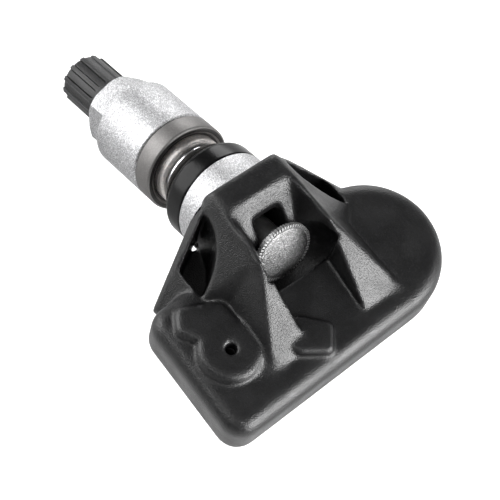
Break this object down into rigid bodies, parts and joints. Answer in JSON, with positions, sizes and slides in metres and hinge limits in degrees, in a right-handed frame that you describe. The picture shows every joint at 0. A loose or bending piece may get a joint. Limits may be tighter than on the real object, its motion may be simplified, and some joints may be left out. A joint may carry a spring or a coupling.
{
  "type": "tyre pressure sensor",
  "caption": "Clamp-in tyre pressure sensor: a flat battery-powered housing that swivels on a metal tyre valve with a rubber rim seal, union nut and screw cap.",
  "frame": {"origin": "on the valve axis, where the valve's collar meets the rubber grommet", "axes": "+Z out of the housing's flat top, +Y along the housing's plane towards the rim hole, +X to the round battery end; the valve axis leaves along +Y and dips 24 degrees below it"},
  "size_m": [0.0504, 0.0758, 0.0358],
  "materials": {
    "housing_plastic": "moulded, fine grain",
    "cover_plastic": "moulded",
    "board_green": "solder mask",
    "cell_steel": "nickel plated",
    "tab_nickel": "rolled strip",
    "chip_black": "moulded package",
    "seal_rubber": "soft",
    "ferrite": "ferrite with copper wire",
    "crystal_can": "plain can",
    "ceramic": "fired",
    "antenna_metal": "rolled strip",
    "valve_aluminium": "bead blasted",
    "grommet_rubber": "moulded, slight shine",
    "bolt_metal": "satin",
    "core_brass": "turned",
    "gasket_white": "smooth",
    "spring_steel": "drawn wire",
    "washer_anodised": "anodised",
    "ring_grit": "coarse, sandy",
    "cap_plastic": "moulded"
  },
  "bodies": {
    "valve": {"valve_stem": "valve_aluminium", "rim_grommet": "grommet_rubber", "retaining_bolt": "bolt_metal", "valve_core_body": "core_brass", "valve_core_gasket": "gasket_white", "valve_core_spring": "spring_steel"},
    "sensor": {"housing": "housing_plastic", "base_cover": "cover_plastic", "circuit_board": "board_green", "battery_cell": "cell_steel", "battery_tab_top": "tab_nickel", "battery_tab_bottom": "tab_nickel", "pressure_chip": "chip_black", "port_seal": "seal_rubber", "radio_chip": "chip_black", "lf_coil": "ferrite", "crystal": "crystal_can", "capacitors": "ceramic", "antenna_strip": "antenna_metal"},
    "washer": {"thrust_washer": "washer_anodised", "centring_ring": "ring_grit"},
    "nut": {"union_nut": "valve_aluminium"},
    "cap_disc": {"cap_seal": "seal_rubber"},
    "cap": {"valve_cap": "cap_plastic"},
    "core_pin": {"valve_core_pin": "core_brass", "valve_core_cup": "seal_rubber"}
  },
  "joints": [
    {"name": "valve_tilt", "type": "hinge", "parent": "valve", "child": "sensor", "pos_m": [0, -0.01918, 0.00854], "axis": [1, 0, 0], "range_deg": [-16, 1]},
    {"name": "nut_travel", "type": "slide", "parent": "valve", "child": "washer", "axis": [0, 0.9135, -0.4067], "range_m": [-0.00038, 0.008]},
    {"name": "nut_spin", "type": "hinge", "parent": "washer", "child": "nut", "pos_m": [0, 0, 0], "axis": [0, 0.9135, -0.4067], "range_deg": [-180.1, 3840.1]},
    {"name": "cap_travel", "type": "slide", "parent": "valve", "child": "cap_disc", "axis": [0, 0.9135, -0.4067], "range_m": [0, 0.00699]},
    {"name": "cap_spin", "type": "hinge", "parent": "cap_disc", "child": "cap", "pos_m": [0, 0, 0], "axis": [0, 0.9135, -0.4067], "range_deg": [0, 3171]},
    {"name": "core_press", "type": "slide", "parent": "valve", "child": "core_pin", "axis": [0, -0.9135, 0.4067], "range_m": [0, 0.0012], "stiffness_N_per_m": 500, "deforming": ["valve_core_spring"]}
  ],
  "couplings": [
    {"joint": "nut_spin", "follows": "nut_travel", "rad_per_m": 8377.6},
    {"joint": "cap_spin", "follows": "cap_travel", "rad_per_m": 7915.8}
  ]
}
